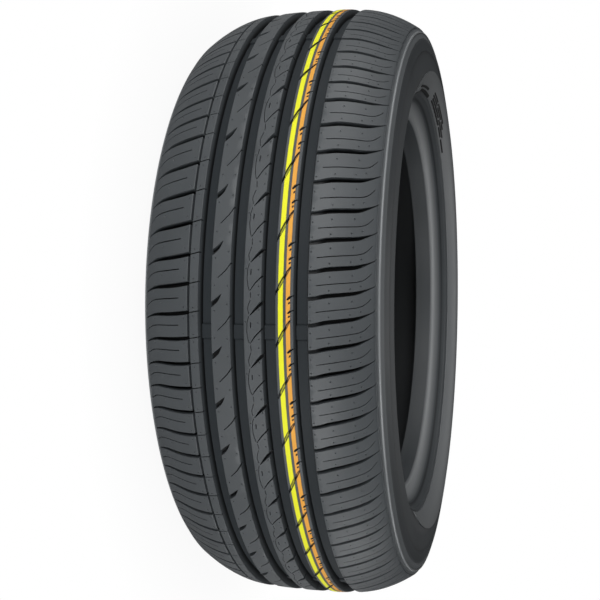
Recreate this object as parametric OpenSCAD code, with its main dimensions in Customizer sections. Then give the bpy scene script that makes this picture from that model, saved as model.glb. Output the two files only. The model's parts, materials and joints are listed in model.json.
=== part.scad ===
// Passenger car tyre, free of its rim, lying on its inner sidewall with the axle line along Z.
// Its tread is asymmetric and runs round in double pitches of three lengths.

/* [Tyre] */
// Diameter over the middle of the tread
overall_d = 632; // [620:2:660]
// Width over both sidewalls, free of a rim
section_w = 222; // [218:1:230]
// Diameter of the bead seats
seat_d = 405.6; // [398:0.2:412]
// Distance between the heels of the two beads
heel_w = 165; // [155:1:175]

/* [Carcass] */
// Where a sidewall stands out most, as a share of the way up from the bead seat to the tread's edge
widest_up = 0.566; // [0.5:0.01:0.62]
// Thickness of rubber and belts under the ribs
crown_t = 15.5; // [13:0.5:18]
// Thickness of a sidewall where it stands out most
side_t = 8; // [6:0.5:10]
// Thickness where a sidewall meets the tread
shoulder_t = 13; // [10:0.5:15]
// Width of a bead from toe to heel
bead_w = 19.5; // [18:0.5:23]
// Length of the cylindrical part of a bead seat
seat_l = 11; // [8:0.5:13]
// How much smaller the toe is in radius than the seat
toe_drop = 1.4; // [0.5:0.1:2.5]
// Radius that the heel loses to its rounded corner
heel_cut = 1.5; // [1:0.1:2.5]
// Height of the face that a rim flange clasps
flange_h = 11; // [9:0.5:13]
// How far that face leans outwards over its height
flange_lean = 3.5; // [2:0.5:5]

/* [Crown] */
// Width of the tread between its two edges
tread_w = 203; // [199:1:208]
// Radius across the middle of the tread
crown_r = 700; // [550:10:1200]
// Width of that middle
middle_w = 92; // [80:2:110]
// Radius by which the shoulders fall away outside the middle
fall_r = 100; // [90:5:150]

/* [Grooves and ribs] */
// Width of a main groove at the surface
main_w = 12.2; // [10:0.1:13]
// Depth of a main groove
main_depth = 7.8; // [6:0.1:8.5]
// Slope of the walls of a main groove
main_slope = 13; // [5:1:18]
// Distance from the tread's middle to the thin groove
thin_z = 55.3; // [54:0.1:58]
// Width of the thin groove
thin_w = 2.2; // [1.5:0.1:3]
// Depth of the thin groove
thin_depth = 6; // [4:0.5:7]
// Width of the narrow rib beside the thin groove
rib_1 = 8; // [7:0.1:9]
// Width of the second rib
rib_2 = 16.8; // [15:0.1:18]
// Width of the third rib
rib_3 = 15.2; // [14:0.1:17]
// Width of the fourth rib, which carries the paint lines
rib_4 = 15.2; // [14:0.1:17]

/* [Pitches] */
// Lengths of the double pitches round the tyre: S short, M medium, L long
pitch_order = "SSSMSSMLLSSSMSSLLLMSSSMSSMLSSSMLSMSMSLLMS";
// Length of a medium pitch as a share of a short one
medium_share = 1.13; // [1:0.01:1.2]
// Length of a long pitch as a share of a short one
long_share = 1.28; // [1.1:0.01:1.35]
// Angle by which the left shoulder's pitches come after those of the ribs
left_turn = 10.1; // [8:0.1:12]
// Angle by which the right shoulder's pitches come after those of the ribs
right_turn = 3.3; // [2:0.1:5]

/* [Cross grooves] */
// Width of a shoulder groove at its widest
cross_w = 4.2; // [2.5:0.1:5]
// Depth of a shoulder groove halfway across its block
cross_depth = 7; // [5:0.5:7.5]
// Width of a rib's notch at its widest
notch_w = 2.8; // [1.8:0.1:3.4]
// Depth of a rib's notch
notch_depth = 5; // [3:0.5:6]
// Width of a sipe
sipe_w = 0.8; // [0.6:0.1:1.2]
// Depth of a sipe
sipe_depth = 4.5; // [3:0.5:6]

/* [Wear bars] */
// Places round the tyre that have wear bars
wear_places = 6; // [4:1:8]
// Angle of the first place
wear_start = 5; // [0:1:30]
// Height of a wear bar over the groove floor
wear_h = 1.6; // [1.6:0.1:2]
// Length of a wear bar round the tyre
wear_l = 12; // [8:1:16]

/* [Sidewall relief] */
// Height of the bands, rings and plates over the sidewall
relief_h = 0.8; // [0.5:0.1:1.2]
// Width of a ring
ring_w = 1.6; // [1:0.1:2.5]
// Top of the raised band under the tread, as a share of the way up a sidewall
band_top = 0.87; // [0.84:0.01:0.92]
// Place of the ridge over that band, as a share of the way from its top to the tread's edge
ridge_up = 0.55; // [0.4:0.05:0.7]
// Bottom of that band
band_bottom = 0.74; // [0.68:0.01:0.78]
// Place of the lower ring over the rim flange
low_ring = 0.2; // [0.17:0.01:0.22]
// Place of the upper ring
high_ring = 0.255; // [0.24:0.005:0.26]
// Inner edge of the raised plate
plate_bottom = 0.285; // [0.28:0.005:0.32]
// Outer edge of the raised plate
plate_top = 0.525; // [0.4:0.005:0.6]
// Angle that the raised plate covers
plate_angle = 207; // [60:3:240]

/* [Paint lines] */
// Thickness of the paint
paint_t = 0.3; // [0.2:0.1:0.5]
// Width of the yellow line
yellow_w = 4.4; // [3:0.1:5]
// Width of the orange line
orange_w = 3.8; // [3:0.1:4.5]
// Bare rubber between the rib's left edge and the yellow line
paint_in = 2.3; // [1.5:0.1:3]
// Bare rubber between the two lines
paint_gap = 2.2; // [1.5:0.1:2.5]

/* [Hidden] */
round_fn = 256;

top_r = overall_d / 2;
seat_r = seat_d / 2;
half_w = section_w / 2;
edge_z = tread_w / 2;
heel_z = heel_w / 2;
toe_z = heel_z - bead_w;
flange_r = seat_r + flange_h;
flange_z = heel_z + flange_lean;
// How deep relief is rooted in the sidewall, and how far a cut reaches out of the tread
root = 2;
reach = 12;

// Left edges of the main grooves and of what lies between them, from left to right
left_z = -thin_z - thin_w / 2;
rib_1_z = -thin_z + thin_w / 2;
groove_1 = rib_1_z + rib_1;
rib_2_z = groove_1 + main_w;
groove_2 = rib_2_z + rib_2;
rib_3_z = groove_2 + main_w;
groove_3 = rib_3_z + rib_3;
rib_4_z = groove_3 + main_w;
groove_4 = rib_4_z + rib_4;
right_z = groove_4 + main_w;
main_grooves = [groove_1, groove_2, groove_3, groove_4];
yellow_z = rib_4_z + paint_in;
orange_z = yellow_z + yellow_w + paint_gap;

// Radius of the crown at a place across the tread, which is straight across rib 4
function crown(z) =
    top_r - z * z / (2 * crown_r) - pow(max(0, abs(z) - middle_w / 2), 2) / (2 * fall_r);
edge_r = crown(edge_z);
function up(share) = seat_r + share * (edge_r - seat_r);
widest_r = up(widest_up);
function rib_4_top(z) =
    crown(rib_4_z) + (z - rib_4_z) / rib_4 * (crown(groove_4) - crown(rib_4_z));

// Distance from the middle plane to the outside of a sidewall, at a radius
function side(r) =
    r > widest_r ? half_w - (half_w - edge_z) * pow((r - widest_r) / (edge_r - widest_r), 2.2)
    : r > flange_r ? half_w - (half_w - flange_z) * pow((widest_r - r) / (widest_r - flange_r), 2)
    : heel_z + flange_lean * (r - seat_r) / flange_h;

// Thickness of a sidewall, at a radius
function wall(r) =
    r > widest_r ? side_t + (shoulder_t - side_t) * pow((r - widest_r) / (edge_r - widest_r), 2)
    : side_t + (bead_w - side_t) * pow((widest_r - r) / (widest_r - seat_r), 1.5);

// The values that part the way from a to b into n steps, without a
function steps(a, b, n) = [for (i = [1:n]) a + (b - a) * i / n];
function reversed(list) = [for (i = [len(list) - 1:-1:0]) list[i]];

// Outer half of the section as points of radius and width: crown, sidewall, bead, then the liner
liner_z = edge_z - shoulder_t - root;
liner_r = crown(liner_z) - crown_t;
half_section = concat(
    [for (z = [0, rib_4_z, groove_4]) [crown(z), z]],
    [for (z = steps(groove_4, edge_z, 6)) [crown(z), z]],
    [for (r = steps(edge_r, widest_r, 5)) [r, side(r)]],
    [for (r = steps(widest_r, flange_r, 6)) [r, side(r)]],
    [
        [seat_r + heel_cut, side(seat_r + heel_cut)],
        [seat_r, heel_z - heel_cut],
        [seat_r, heel_z - heel_cut - seat_l],
        [seat_r - toe_drop, toe_z + 1],
        [seat_r - toe_drop / 2, toe_z]
    ],
    [for (r = steps(seat_r, widest_r, 7)) [r, side(r) - wall(r)]],
    [for (r = steps(widest_r, liner_r, 4)) if (r < liner_r) [r, side(r) - wall(r)]],
    [for (z = steps(liner_z, 0, 6)) [crown(z) - crown_t, z]]
);
inner_half = [for (p = half_section) if (p[1] > 0) [p[0], -p[1]]];

// Where a double pitch starts, counted in short ones, and how long a short one is
function share(letter) = letter == "L" ? long_share : letter == "M" ? medium_share : 1;
function sum_to(n) = n == 0 ? 0 : sum_to(n - 1) + share(pitch_order[n - 1]);
pitch_count = len(pitch_order);
short_angle = 360 / sum_to(pitch_count);

// The pattern is drawn for a short double pitch, 45 mm long. Each line gives the middle of a cut as
// points of distance along the tread, share of the way across its rib, and share of its full width.
right_cross_line = [
    [3.8, -0.02, 0.35], [0.6, 0.28, 0.95], [-1.2, 0.62, 0.9], [-4, 0.84, 0.4], [-8.5, 1.04, 0.3]
];
right_sipe_line = [[14.1, 0.13, 1], [10.3, 0.74, 1]];
left_cross_line = [[8.8, -0.05, 0.3], [3.2, 0.17, 0.6], [2, 0.55, 0.9], [0, 1.01, 0.9]];
left_sipe_line = [[12.4, 0.25, 1], [11.3, 0.82, 1]];
rib_1_sipe_line = [[0, -0.1, 1], [-1.4, 1.1, 1]];
rib_2_notch_line = [[4.6, -0.06, 1.2], [0, 0.28, 1.1], [-4.8, 0.56, 0.3]];
rib_2_sipe_line = [[25.8, 0.38, 1], [13.8, 1.06, 1]];
rib_3_notch_line = [[13, 0.37, 0.3], [8, 0.69, 0.8], [2.4, 1.06, 1.1]];
rib_3_sipe_line = [[37.3, 0.34, 1], [25, 1.06, 1]];
rib_4_sipe_line = [[40.5, -0.06, 1.6], [37, 0.07, 1.2], [18, 0.77, 1]];
rib_4_notch_line = [[43.8, 0.74, 0.5], [41, 1.06, 0.8]];

// A cut that is w wide and goes in from the surface between the places z0 and z1
module cut(angle, stretch, line, z0, z1, w, depth) {
    middle = (z0 + z1) / 2;
    lean = atan((crown(z1) - crown(z0)) / (z1 - z0));
    spots = [for (p = line) [p[0] * stretch, (p[1] - 0.5) * (z1 - z0), p[2] * w / 2]];
    rotate([0, 0, angle])
        translate([0, depth - crown(middle), middle])
            rotate([90 + lean, 0, 0])
                linear_extrude(height = depth + reach)
                    polygon(concat(
                        [for (s = spots) [s[0] - s[2], s[1]]],
                        [for (s = reversed(spots)) [s[0] + s[2], s[1]]]
                    ));
}

module each_pitch() {
    for (i = [0:pitch_count - 1]) {
        $start = sum_to(i) * short_angle;
        $stretch = share(pitch_order[i]);
        children();
    }
}

// Cuts of one double pitch, apart from those in rib 4
module pitch_cuts() {
    for (half = [0, 1]) {
        at = $start + half * short_angle * $stretch / 2;
        left = at + left_turn;
        right = at + right_turn;
        cut(right, $stretch, right_cross_line, right_z, edge_z, cross_w, cross_depth);
        cut(right, $stretch, right_sipe_line, right_z, edge_z, sipe_w, sipe_depth);
        cut(left, $stretch, left_cross_line, -edge_z, left_z, cross_w, cross_depth);
        cut(left, $stretch, left_sipe_line, -edge_z, left_z, sipe_w, sipe_depth);
        cut(left, $stretch, rib_1_sipe_line, rib_1_z, groove_1, sipe_w, sipe_depth);
    }
    cut($start, $stretch, rib_2_notch_line, rib_2_z, groove_2, notch_w, notch_depth);
    cut($start, $stretch, rib_2_sipe_line, rib_2_z, groove_2, sipe_w, sipe_depth);
    cut($start, $stretch, rib_3_notch_line, rib_3_z, groove_3, notch_w, notch_depth);
    cut($start, $stretch, rib_3_sipe_line, rib_3_z, groove_3, sipe_w, sipe_depth);
}

// Cuts of one double pitch through rib 4 and its paint
module rib_4_cuts() {
    cut($start, $stretch, rib_4_sipe_line, rib_4_z, groove_4, sipe_w, sipe_depth);
    cut($start, $stretch, rib_4_notch_line, rib_4_z, groove_4, notch_w, notch_depth);
}

function floor_of(groove) = crown(groove + main_w / 2) - main_depth;

// Main groove in the section, with radius along X
module main_groove(groove) {
    slope = tan(main_slope);
    polygon([
        [floor_of(groove), groove + main_depth * slope],
        [floor_of(groove), groove + main_w - main_depth * slope],
        [floor_of(groove) + main_depth + reach, groove + main_w + reach * slope],
        [floor_of(groove) + main_depth + reach, groove - reach * slope]
    ]);
}

module thin_groove() {
    translate([crown(thin_z) - thin_depth, left_z])
        square([thin_depth + reach, thin_w]);
}

// Carcass and tread with the grooves that run round
module carcass() {
    rotate_extrude($fn = round_fn)
        difference() {
            polygon(concat(half_section, reversed(inner_half)));
            for (groove = main_grooves) main_groove(groove);
            thin_groove();
        }
}

// Wear bars across the main grooves
module wear_bars() {
    for (i = [0:wear_places - 1], groove = main_grooves)
        rotate([0, 0, wear_start + i * 360 / wear_places])
            translate([-wear_l / 2, -floor_of(groove) - wear_h, groove])
                cube([wear_l, wear_h + root, main_w]);
}

// A belt of relief that follows one sidewall: way is 1 on the outer one and -1 on the inner one
module relief(r_in, r_out, way, angle = 360) {
    rs = concat([r_in], steps(r_in, r_out, r_out - r_in > 2 * ring_w ? 4 : 1));
    rotate_extrude(angle = angle, $fn = round_fn)
        polygon(concat(
            [for (r = rs) [r, way * (side(r) + relief_h)]],
            [for (r = reversed(rs)) [r, way * (side(r) - root)]]
        ));
}

// The plate lies opposite the stretch of tread that starts the pitch order
module sidewall_relief(way) {
    relief(up(band_bottom), up(band_top), way);
    for (share = [low_ring, high_ring, band_top + ridge_up * (1 - band_top)])
        relief(up(share) - ring_w / 2, up(share) + ring_w / 2, way);
    rotate([0, 0, 90 - plate_angle / 2])
        relief(up(plate_bottom), up(plate_top), way, plate_angle);
}

module tyre() {
    color("#43474a") {
        difference() {
            carcass();
            each_pitch() pitch_cuts();
            each_pitch() rib_4_cuts();
        }
        wear_bars();
        for (way = [-1, 1]) sidewall_relief(way);
    }
}

// A line of paint that lies on rib 4, from z over a width w
module paint_line(z, w) {
    difference() {
        rotate_extrude($fn = round_fn)
            polygon([
                [rib_4_top(z), z],
                [rib_4_top(z + w), z + w],
                [rib_4_top(z + w) + paint_t, z + w],
                [rib_4_top(z) + paint_t, z]
            ]);
        each_pitch() rib_4_cuts();
    }
}

module yellow_line() {
    color("#f4ee16") paint_line(yellow_z, yellow_w);
}

module orange_line() {
    color("#e8953a") paint_line(orange_z, orange_w);
}

tyre();
yellow_line();
orange_line();
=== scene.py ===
"""A car tyre lying on its inner sidewall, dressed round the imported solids."""

import json
from math import cos, degrees, hypot, pi, radians, sin

import bmesh
import bpy
import numpy as np
from bpy.props import FloatProperty, FloatVectorProperty, PointerProperty
from bpy.types import NodeSocket, Operator, Panel, PropertyGroup
from mathutils import Matrix, Vector
from mathutils.geometry import delaunay_2d_cdt


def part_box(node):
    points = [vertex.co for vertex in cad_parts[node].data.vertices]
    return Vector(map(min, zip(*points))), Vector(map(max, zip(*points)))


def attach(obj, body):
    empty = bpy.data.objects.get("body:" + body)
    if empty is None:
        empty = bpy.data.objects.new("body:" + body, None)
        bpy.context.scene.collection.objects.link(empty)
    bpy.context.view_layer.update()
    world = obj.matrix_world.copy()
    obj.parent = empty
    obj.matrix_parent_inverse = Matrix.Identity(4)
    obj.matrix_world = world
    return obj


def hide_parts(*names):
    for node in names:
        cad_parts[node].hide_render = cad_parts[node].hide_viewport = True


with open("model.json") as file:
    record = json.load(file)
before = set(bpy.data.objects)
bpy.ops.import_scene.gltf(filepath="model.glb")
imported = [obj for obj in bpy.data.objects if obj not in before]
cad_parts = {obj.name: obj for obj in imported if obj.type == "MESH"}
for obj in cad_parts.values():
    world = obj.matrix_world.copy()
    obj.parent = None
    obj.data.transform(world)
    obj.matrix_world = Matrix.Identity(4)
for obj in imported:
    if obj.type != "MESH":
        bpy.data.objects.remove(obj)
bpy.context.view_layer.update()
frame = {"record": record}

bl_info = {
    "name": "Car Tyre",
    "version": (1, 0, 0),
    "blender": (4, 5, 0),
    "location": "3D View > Sidebar > Tyre",
    "description": "Builds a ribbed car tyre, its paint lines and a plain stage",
    "category": "Object",
}

MM = 0.001
TYRE_LOW, TYRE_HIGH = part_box("tyre")
BEAD_SEAT = next(m for m in frame["record"]["mounts"] if m["name"] == "bead_seat_outer")


# Colours and nodes

def linear(code):
    """An sRGB hex colour as the linear RGBA that shaders take."""
    channels = [int(code[i:i + 2], 16) / 255 for i in (1, 3, 5)]
    return [c / 12.92 if c <= 0.04045 else ((c + 0.055) / 1.055) ** 2.4 for c in channels] + [1.0]


def add(tree, kind, inputs=None, **settings):
    """A node of one kind with its settings; each input is a value or the socket that feeds it."""
    made = tree.nodes.new(kind)
    for key, value in settings.items():
        setattr(made, key, value)
    for key, value in (inputs or {}).items():
        if isinstance(value, NodeSocket):
            tree.links.new(value, made.inputs[key])
        else:
            made.inputs[key].default_value = value
    return made


def blank_material(name):
    material = bpy.data.materials.new(name)
    material.use_nodes = True
    material.node_tree.nodes.clear()
    return material, material.node_tree


# The section, in millimetres: crown, sidewalls, beads and liner

TOP_R = (TYRE_HIGH[0] - TYRE_LOW[0]) / 2 / MM
RELIEF_H = 0.8
HALF_W = (TYRE_HIGH[2] - TYRE_LOW[2]) / 2 / MM - RELIEF_H
SEAT_R = BEAD_SEAT["dims"]["r_mm"]
SEAT_L = BEAD_SEAT["dims"]["length_mm"]
SEAT_Z = BEAD_SEAT["pos_m"][2] / MM
HEEL_CUT = 1.5
HEEL_Z = SEAT_Z + SEAT_L / 2 + HEEL_CUT
BEAD_W = 19.5
TOE_DROP = 1.4
EDGE_Z = 101.5
MIDDLE = 46
CROWN_R, FALL_R = 700, 100
CROWN_T, SIDE_T, SHOULDER_T = 15.5, 8, 13
FLANGE_R = SEAT_R + 11
FLANGE_Z = HEEL_Z + 3.5
# Powers by which the sidewall draws in, and its wall thickens, over and under the widest line
IN_OVER, IN_UNDER = 2.2, 2
THICK_OVER, THICK_UNDER = 2, 1.5
# How far the patterned band reaches across, measured along the surface past the tread's edge
BAND_END = 118
# Fine groove along the tread's edge: its place across, half its width, and its depth
EDGE_LINE, EDGE_LINE_W, EDGE_LINE_DEPTH = EDGE_Z + 0.6, 0.5, 0.9
# Place across from which the surface takes a sidewall's painted light and shade
SIDE_TONE_Z = EDGE_LINE + 0.6


def crown(z):
    """Radius of the tread at a distance from the middle plane."""
    return TOP_R - z * z / (2 * CROWN_R) - max(0, abs(z) - MIDDLE) ** 2 / (2 * FALL_R)


EDGE_R = crown(EDGE_Z)


def up(share):
    """Radius at a share of the way up from the bead seat to the tread's edge."""
    return SEAT_R + share * (EDGE_R - SEAT_R)


WIDEST_R = up(0.566)


def side(r):
    """Distance of the sidewall from the middle plane."""
    if r > WIDEST_R:
        return HALF_W - (HALF_W - EDGE_Z) * ((r - WIDEST_R) / (EDGE_R - WIDEST_R)) ** IN_OVER
    if r > FLANGE_R:
        return HALF_W - (HALF_W - FLANGE_Z) * ((WIDEST_R - r) / (WIDEST_R - FLANGE_R)) ** IN_UNDER
    return HEEL_Z + (FLANGE_Z - HEEL_Z) * (r - SEAT_R) / (FLANGE_R - SEAT_R)


def wall(r):
    """Thickness of the sidewall, measured along the axle."""
    if r > WIDEST_R:
        return SIDE_T + (SHOULDER_T - SIDE_T) * ((r - WIDEST_R) / (EDGE_R - WIDEST_R)) ** THICK_OVER
    return SIDE_T + (BEAD_W - SIDE_T) * ((WIDEST_R - r) / (WIDEST_R - SEAT_R)) ** THICK_UNDER


def steps(a, b, n):
    """The ends of n equal steps from a to b."""
    return [a + (b - a) * i / n for i in range(1, n + 1)]


class Band:
    """The outer surface by its distance across, with the tread's edges rounded."""

    # Distance between spots, how far across the outline is walked and how much of it is kept, and
    # the number of spots over which it is rounded
    STEP, WALKED, KEPT, ROUNDED = 0.25, BAND_END + 8, BAND_END + 6, 13

    def __init__(self):
        spots = [(z, crown(z), z) for z in np.arange(0, EDGE_Z, self.STEP)]
        u, r = EDGE_Z, EDGE_R
        while u < self.WALKED:
            spots.append((u, r, side(r)))
            u += hypot(self.STEP, side(r - self.STEP) - side(r))
            r -= self.STEP
        table = np.array(spots)
        half_u = np.arange(0, self.KEPT, self.STEP)
        half_r = np.interp(half_u, table[:, 0], table[:, 1])
        half_z = np.interp(half_u, table[:, 0], table[:, 2])
        self.u = np.concatenate([-half_u[:0:-1], half_u])
        r = np.concatenate([half_r[:0:-1], half_r])
        z = np.concatenate([-half_z[:0:-1], half_z])
        kernel = np.ones(self.ROUNDED) / self.ROUNDED
        inside = slice(self.ROUNDED, -self.ROUNDED)
        self.r, self.z = r.copy(), z.copy()
        self.r[inside] = np.convolve(r, kernel, "same")[inside]
        self.z[inside] = np.convolve(z, kernel, "same")[inside]
        dr, dz = np.gradient(self.r), np.gradient(self.z)
        length = np.hypot(dr, dz)
        self.nr, self.nz = dz / length, -dr / length

    def place(self, u, h=0.0):
        """Radius and distance from the middle plane of a spot that stands h over the surface."""
        r, z, nr, nz = (float(np.interp(u, self.u, a)) for a in (self.r, self.z, self.nr, self.nz))
        return r + nr * h, z + nz * h

    def across(self, r):
        """Distance across at which the outer sidewall has this radius."""
        half = len(self.u) // 2
        return float(np.interp(-r, -self.r[half:], self.u[half:]))


BAND = Band()
BAND_TOP, BAND_BOTTOM = up(0.87), up(0.74)
RIDGE = up(0.9415)
HEEL_RING = SEAT_R + 4.2
RINGS = [up(0.2), up(0.255)]
PLATE_IN, PLATE_OUT = up(0.285), up(0.525)
# First and last angle of the plate, in degrees, how far it laps over the dish, its painted highlight,
# and how much lower its outer edge is at both ends
PLATE_START, PLATE_END = 73, 294
PLATE_LAP, PLATE_PAINTED_HIGHLIGHT, PLATE_TAPER = 7, -0.3, 18


def ring_profile(middle, half_top, half_foot, height):
    """Radius and height of the four corners of a ring on the sidewall."""
    foot, top = (middle - half_foot, 0), (middle - half_top, height)
    return [foot, top, (middle + half_top, height), (middle + half_foot, 0)]


# Height of what is moulded on a sidewall, by radius: rings, the dish over the plates, the band
# under the tread and the ridge at its top
RELIEF = ring_profile(HEEL_RING, 0.4, 0.8, 0.5)
for ring in RINGS:
    RELIEF += ring_profile(ring, 0.8, 1.1, RELIEF_H)
RELIEF += [
    (PLATE_OUT - 1, 0), (PLATE_OUT + 3, -1), ((PLATE_OUT + BAND_BOTTOM) / 2, -1.4),
    (BAND_BOTTOM - 0.6, -0.8), (BAND_BOTTOM, 0), (BAND_TOP - 2, 0), (BAND_TOP - 0.4, 0.3),
    (BAND_TOP + 0.3, 0.9), (RIDGE - 1.2, 0.5), (RIDGE - 0.7, 1.3), (RIDGE + 0.5, 1.3),
    (RIDGE + 1.1, 0.2), (RIDGE + 2, 0),
]

# Painted light and shade on the sidewalls by radius: 1 paints the shade of a groove's floor, 0.8
# the near-black shade of its walls, 0 leaves the rubber as on the ribs, -1 paints a full highlight
PAINTED_TONES = [
    (SEAT_R + 1, -0.3), (SEAT_R + 3, -0.8), (RINGS[0] - 5, -0.5), (RINGS[0] - 2, 0),
    (RINGS[0] - 0.5, 0.7), (RINGS[0] + 1, 0.2), (RINGS[1] - 2, 0.6), (RINGS[1], -0.2),
    (RINGS[1] + 1, 0.1), (PLATE_IN - 1, 0.6), (PLATE_OUT - 2, 0.2), (PLATE_OUT + 8, 0.25),
    (BAND_TOP - 2.4, 0.4), (BAND_TOP - 0.4, -0.15), (RIDGE - 1.2, -0.15), (RIDGE - 0.7, -0.45),
    (RIDGE + 0.5, -0.45), (RIDGE + 1.1, -0.2),
]
# Darkest painted shade of the inner side, and the distance in which that painted shade grows by one
# from the bead seat
INNER_PAINTED_SHADE, INNER_FADE = 0.4, 20


def read_off(spots, place):
    """The value at a place on a line through spots of (place, value)."""
    return float(np.interp(place, [p[0] for p in spots], [p[1] for p in spots]))


def relief(r):
    return read_off(RELIEF, r)


def tone(r):
    return read_off(PAINTED_TONES, r)


# The pattern: lines of one double pitch, drawn 45 mm long

DRAWN_L = 45
PITCH_ORDER = "SSSMSSMLLSSSMSSLLLMSSSMSSMLSSSMLSMSMSLLMS"
SHARES = {"S": 1, "M": 1.13, "L": 1.28}
SHORT_ANGLE = 2 * pi / sum(SHARES[letter] for letter in PITCH_ORDER)

# Width at the surface, depth, and how far in each wall runs, of the grooves that run round
MAIN_W, MAIN_DEPTH, MAIN_RUN = 12.2, 7.8, 1.8
THIN_W, THIN_DEPTH, THIN_RUN = 2.2, 6, 0.4
RIB_1_W, RIB_2_W, RIB_3_W, RIB_4_W = 8, 16.8, 15.2, 15.2
LEFT_Z = -56.4
RIB_1_Z = LEFT_Z + THIN_W
GROOVE_1 = RIB_1_Z + RIB_1_W
RIB_2_Z = GROOVE_1 + MAIN_W
GROOVE_2 = RIB_2_Z + RIB_2_W
RIB_3_Z = GROOVE_2 + MAIN_W
GROOVE_3 = RIB_3_Z + RIB_3_W
RIB_4_Z = GROOVE_3 + MAIN_W
GROOVE_4 = RIB_4_Z + RIB_4_W
RIGHT_Z = GROOVE_4 + MAIN_W
MAIN_GROOVES = [GROOVE_1, GROOVE_2, GROOVE_3, GROOVE_4]
ROUND_GROOVES = [(start, MAIN_W, MAIN_DEPTH, MAIN_RUN) for start in MAIN_GROOVES]
ROUND_GROOVES += [(LEFT_Z, THIN_W, THIN_DEPTH, THIN_RUN)]
# Height lost at the worn-looking edge of a rib, and the width of that edge
EASE_H, EASE_W = 0.3, 0.45
# Columns of points along a double pitch, the least gap between rows, and what counts as no distance
COLUMNS, ROW_GAP, NEARLY = 6, 0.02, 1e-4

# Angles by which the shoulders' pitches come after those of the ribs
LEFT_TURN, RIGHT_TURN = radians(10.1), radians(3.3)

# Where one double pitch is parted from the next, clear of every cut: across and along
SEAM = [
    (-BAND_END, -6.5), (-105, -6.5), (-103, -8.2), (-100.5, -10.7), (-96, -13), (-91, -14.2),
    (GROOVE_1, -14.3), (RIB_2_Z, -10), (-25, -10), (GROOVE_2, -6), (RIB_3_Z, 0), (5.5, -2), (GROOVE_3, -4),
    (RIB_4_Z, 6), (33.5, 6), (GROOVE_4, 3), (RIGHT_Z, -15.2), (56, -15.6), (66, -18.4), (76, -19.5),
    (84, -20.7), (92, -21), (95, -21.6), (98.8, -26), (103.6, -30), (BAND_END, -30),
]


def seam(u):
    return read_off(SEAM, u)


class Cut:
    """A groove, notch or sipe along a smooth line of (along, across, half width)."""

    # Shares of a wall's run at which it leaves the edge and reaches the floor, and what stands for a
    # spot far outside
    AT_EDGE, AT_FLOOR, FAR = 0.12, 0.88, -9

    def __init__(self, spots, depth, run, fade, fine):
        self.depth, self.run, self.fade = depth, run, fade
        self.line = self.smooth(spots, fine)
        reach = max(p[2] for p in self.line)
        self.low = [min(p[i] for p in self.line) - reach for i in (0, 1)]
        self.high = [max(p[i] for p in self.line) + reach for i in (0, 1)]

    @staticmethod
    def smooth(spots, fine):
        """Points on a curve through the spots, so many from each to the next."""
        padded = [spots[0]] + list(spots) + [spots[-1]]
        line = []
        for a, b, c, d in zip(padded, padded[1:], padded[2:], padded[3:]):
            for k in range(fine):
                t = k / fine
                line.append([
                    0.5 * (2 * q + (r - p) * t + (2 * p - 5 * q + 4 * r - s) * t * t
                           + (3 * q - p - 3 * r + s) * t ** 3)
                    for p, q, r, s in zip(a, b, c, d)
                ])
        return line + [list(spots[-1])]

    def inset(self, w):
        """How far in the wall runs where the cut has half width w."""
        return min(self.run, 0.5 * w)

    def outlines(self):
        return [self.outline(), self.outline(floor=True)]

    def outline(self, grow=0.0, floor=False):
        """The closed outline at the surface, grown a little if need be, or at the floor."""
        line, left, right = self.line, [], []
        last = len(line) - 1
        for i, (s, u, w) in enumerate(line):
            a, b = line[max(i - 1, 0)], line[min(i + 1, last)]
            ds, du = b[0] - a[0], b[1] - a[1]
            length = hypot(ds, du)
            ds, du = ds / length, du / length
            off = w - self.inset(w) if floor else w + grow
            left.append((s - du * off, u + ds * off))
            right.append((s + du * off, u - ds * off))
            if i == 0:
                head = (s - ds * off, u - du * off)
            if i == last:
                tail = (s + ds * off, u + du * off)
        return [head] + right + [tail] + left[::-1]

    def inside(self, s, u, share=True):
        """How far inside a spot lies: in millimetres, or as a share of the wall from edge to floor."""
        if not (self.low[0] <= s <= self.high[0] and self.low[1] <= u <= self.high[1]):
            return 0 if share else self.FAR
        best = 0 if share else self.FAR
        for a, b in zip(self.line, self.line[1:]):
            ds, du = b[0] - a[0], b[1] - a[1]
            length = hypot(ds, du)
            along = ((s - a[0]) * ds + (u - a[1]) * du) / length
            beyond = max(-along, along - length, 0)
            w = a[2] + (b[2] - a[2]) * min(max(along / length, 0), 1)
            d = w - beyond - abs((s - a[0]) * du - (u - a[1]) * ds) / length
            best = max(best, d / self.inset(w) if share else d)
        return best

    def height(self, s, u):
        share = (self.inside(s, u) - self.AT_EDGE) / (self.AT_FLOOR - self.AT_EDGE)
        return -self.depth * min(max(share, 0), 1) * read_off(self.fade, u)


# Depth of each kind of cut, and how far in its walls run
CROSS_GROOVE, NOTCH, SLOT = (7, 0.5), (5.5, 0.4), (3, 0.12)
SIPE, LONG_SIPE, FINE_LINE = (4.5, 0.12), (4.5, 0.35), (2, 0.1)
FIRST_NICK, SECOND_NICK = (4.5, 0.2), (4, 0.15)
# Share of its depth that a cut has, by the place across: all of it everywhere
FULL = ((0, 1),)

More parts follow.
